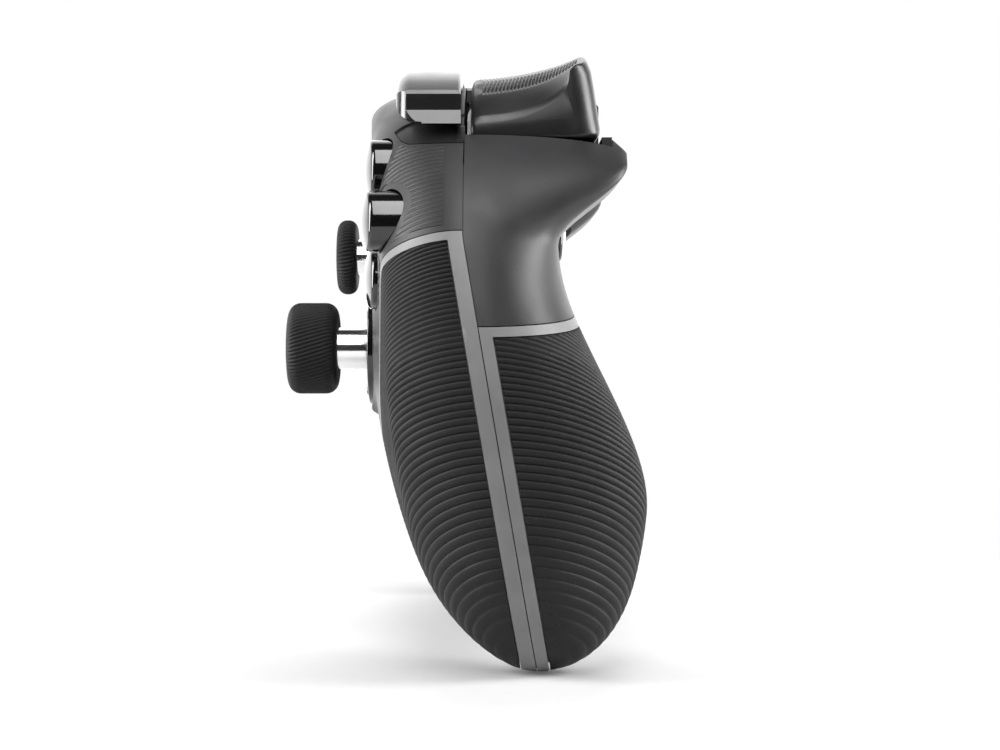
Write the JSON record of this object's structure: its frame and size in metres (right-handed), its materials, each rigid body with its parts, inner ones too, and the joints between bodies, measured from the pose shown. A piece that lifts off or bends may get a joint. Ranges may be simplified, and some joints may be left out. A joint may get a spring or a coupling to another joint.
{
  "type": "gamepad controller",
  "caption": "Handheld gamepad with ridged rubber grips, a tall and a low thumbstick, direction pad, face buttons, bumpers and sprung analogue triggers.",
  "frame": {"origin": "middle of the bounding box at its lowest level, where the grip backs rest", "axes": "+X to the player's right, +Y towards the triggers, +Z out of the face"},
  "size_m": [0.156, 0.1142, 0.0668],
  "materials": {
    "front_plastic": "fine satin texture",
    "rear_plastic": "fine satin texture",
    "grip_frame": "satin",
    "grip_rubber": "ridged, matt",
    "cap_rubber": "knurled, matt",
    "gloss_black": "polished",
    "bumper_plastic": "semi-gloss",
    "trigger_plastic": "satin with fine ridges",
    "stem_metal": "polished",
    "bare_metal": "plain",
    "spring_steel": "drawn wire",
    "screw_steel": "blackened",
    "weight_metal": "turned",
    "inner_plastic": "plain",
    "mat_rubber": "plain",
    "board": "solder mask",
    "battery_wrap": "film"
  },
  "bodies": {
    "housing": {"front_grip_right": "grip_frame", "rear_grip_right": "grip_frame", "front_rubber_right": "grip_rubber", "rear_rubber_right": "grip_rubber", "stick_ring_right": "gloss_black", "stick_module_right": "inner_plastic", "trigger_bracket_right": "bare_metal", "trigger_spring_right": "spring_steel", "rumble_motor_right": "bare_metal", "front_grip_left": "grip_frame", "rear_grip_left": "grip_frame", "front_rubber_left": "grip_rubber", "rear_rubber_left": "grip_rubber", "stick_ring_left": "gloss_black", "stick_module_left": "inner_plastic", "trigger_bracket_left": "bare_metal", "trigger_spring_left": "spring_steel", "rumble_motor_left": "bare_metal", "front_shell": "front_plastic", "rear_shell": "rear_plastic", "face_button_mat": "mat_rubber", "direction_base": "inner_plastic", "tact_switches": "bare_metal", "bumper_bridge": "bumper_plastic", "main_board": "board", "battery": "battery_wrap", "charging_port": "bare_metal", "headset_jack": "inner_plastic", "case_screws": "screw_steel"},
    "stick_yoke_right": {"stick_yoke_right": "bare_metal"},
    "stick_yoke_left": {"stick_yoke_left": "bare_metal"},
    "stick_dome_right": {"stick_dome_right": "inner_plastic"},
    "stick_dome_left": {"stick_dome_left": "inner_plastic"},
    "stick_right": {"stick_stem_right": "stem_metal", "stick_cap_right": "cap_rubber"},
    "stick_left": {"stick_stem_left": "stem_metal", "stick_cap_left": "cap_rubber"},
    "direction_rocker": {"direction_rocker": "bare_metal"},
    "direction_pad": {"direction_pad": "gloss_black"},
    "bumper_right": {"bumper_right": "bumper_plastic"},
    "bumper_left": {"bumper_left": "bumper_plastic"},
    "trigger_right": {"trigger_right": "trigger_plastic"},
    "trigger_left": {"trigger_left": "trigger_plastic"},
    "rumble_weight_right": {"rumble_weight_right": "weight_metal"},
    "rumble_weight_left": {"rumble_weight_left": "weight_metal"},
    "view_button": {"view_button": "gloss_black"},
    "menu_button": {"menu_button": "gloss_black"},
    "home_button": {"home_button": "gloss_black"},
    "rear_button_right": {"rear_button_right": "gloss_black"},
    "rear_button_left": {"rear_button_left": "gloss_black"},
    "face_button_top": {"face_button_top": "gloss_black"},
    "face_button_right": {"face_button_right": "gloss_black"},
    "face_button_bottom": {"face_button_bottom": "gloss_black"},
    "face_button_left": {"face_button_left": "gloss_black"}
  },
  "joints": [
    {"name": "stick_right_pitch", "type": "hinge", "parent": "housing", "child": "stick_yoke_right", "pos_m": [0.022, -0.0006, 0.0368], "axis": [1, 0, 0], "range_deg": [-13, 13], "stiffness_Nm_per_rad": 0.05},
    {"name": "stick_right_roll", "type": "hinge", "parent": "stick_yoke_right", "child": "stick_dome_right", "pos_m": [0.022, -0.0006, 0.0368], "axis": [0, 1, 0], "range_deg": [-13, 13], "stiffness_Nm_per_rad": 0.05},
    {"name": "stick_right_click", "type": "slide", "parent": "stick_dome_right", "child": "stick_right", "axis": [0, 0, -1], "range_m": [0, 0.0005], "stiffness_N_per_m": 1200},
    {"name": "stick_left_pitch", "type": "hinge", "parent": "housing", "child": "stick_yoke_left", "pos_m": [-0.048, 0.02, 0.0368], "axis": [1, 0, 0], "range_deg": [-13, 13], "stiffness_Nm_per_rad": 0.05},
    {"name": "stick_left_roll", "type": "hinge", "parent": "stick_yoke_left", "child": "stick_dome_left", "pos_m": [-0.048, 0.02, 0.0368], "axis": [0, 1, 0], "range_deg": [-13, 13], "stiffness_Nm_per_rad": 0.05},
    {"name": "stick_left_click", "type": "slide", "parent": "stick_dome_left", "child": "stick_left", "axis": [0, 0, -1], "range_m": [0, 0.0005], "stiffness_N_per_m": 1200},
    {"name": "direction_pad_pitch", "type": "hinge", "parent": "housing", "child": "direction_rocker", "pos_m": [-0.022, -0.0016, 0.042], "axis": [1, 0, 0], "range_deg": [-4, 4], "stiffness_Nm_per_rad": 0.2},
    {"name": "direction_pad_roll", "type": "hinge", "parent": "direction_rocker", "child": "direction_pad", "pos_m": [-0.022, -0.0016, 0.042], "axis": [0, 1, 0], "range_deg": [-4, 4], "stiffness_Nm_per_rad": 0.2},
    {"name": "face_button_top_press", "type": "slide", "parent": "housing", "child": "face_button_top", "axis": [0, 0, -1], "range_m": [0, 0.0013], "stiffness_N_per_m": 500},
    {"name": "face_button_right_press", "type": "slide", "parent": "housing", "child": "face_button_right", "axis": [0, 0, -1], "range_m": [0, 0.0013], "stiffness_N_per_m": 500},
    {"name": "face_button_bottom_press", "type": "slide", "parent": "housing", "child": "face_button_bottom", "axis": [0, 0, -1], "range_m": [0, 0.0013], "stiffness_N_per_m": 500},
    {"name": "face_button_left_press", "type": "slide", "parent": "housing", "child": "face_button_left", "axis": [0, 0, -1], "range_m": [0, 0.0013], "stiffness_N_per_m": 500},
    {"name": "view_button_press", "type": "slide", "parent": "housing", "child": "view_button", "axis": [0, 0, -1], "range_m": [0, 0.0005], "stiffness_N_per_m": 1200},
    {"name": "menu_button_press", "type": "slide", "parent": "housing", "child": "menu_button", "axis": [0, 0, -1], "range_m": [0, 0.0005], "stiffness_N_per_m": 1200},
    {"name": "home_button_press", "type": "slide", "parent": "housing", "child": "home_button", "axis": [0, 0, -1], "range_m": [0, 0.0005], "stiffness_N_per_m": 1200},
    {"name": "rear_button_right_press", "type": "slide", "parent": "housing", "child": "rear_button_right", "axis": [0, 0, 1], "range_m": [0, 0.0008], "stiffness_N_per_m": 800},
    {"name": "rear_button_left_press", "type": "slide", "parent": "housing", "child": "rear_button_left", "axis": [0, 0, 1], "range_m": [0, 0.0008], "stiffness_N_per_m": 800},
    {"name": "bumper_right_click", "type": "hinge", "parent": "housing", "child": "bumper_right", "pos_m": [0.015, 0.05402, 0.0387], "axis": [0, 0, -1], "range_deg": [0, 0.9], "stiffness_Nm_per_rad": 0.8},
    {"name": "bumper_left_click", "type": "hinge", "parent": "housing", "child": "bumper_left", "pos_m": [-0.015, 0.05402, 0.0387], "axis": [0, 0, 1], "range_deg": [0, 0.9], "stiffness_Nm_per_rad": 0.8},
    {"name": "trigger_right_pull", "type": "hinge", "parent": "housing", "child": "trigger_right", "pos_m": [0.0445, 0.0412, 0.0292], "axis": [-1, 0, 0], "range_deg": [0, 15], "stiffness_Nm_per_rad": 0.12, "deforming": ["trigger_spring_right"]},
    {"name": "trigger_left_pull", "type": "hinge", "parent": "housing", "child": "trigger_left", "pos_m": [-0.0445, 0.0412, 0.0292], "axis": [-1, 0, 0], "range_deg": [0, 15], "stiffness_Nm_per_rad": 0.12, "deforming": ["trigger_spring_left"]},
    {"name": "rumble_right_spin", "type": "hinge", "parent": "housing", "child": "rumble_weight_right", "pos_m": [0.049, -0.026, 0.0138], "axis": [1, 0, 0], "continuous": true},
    {"name": "rumble_left_spin", "type": "hinge", "parent": "housing", "child": "rumble_weight_left", "pos_m": [-0.049, -0.026, 0.0138], "axis": [1, 0, 0], "continuous": true}
  ]
}
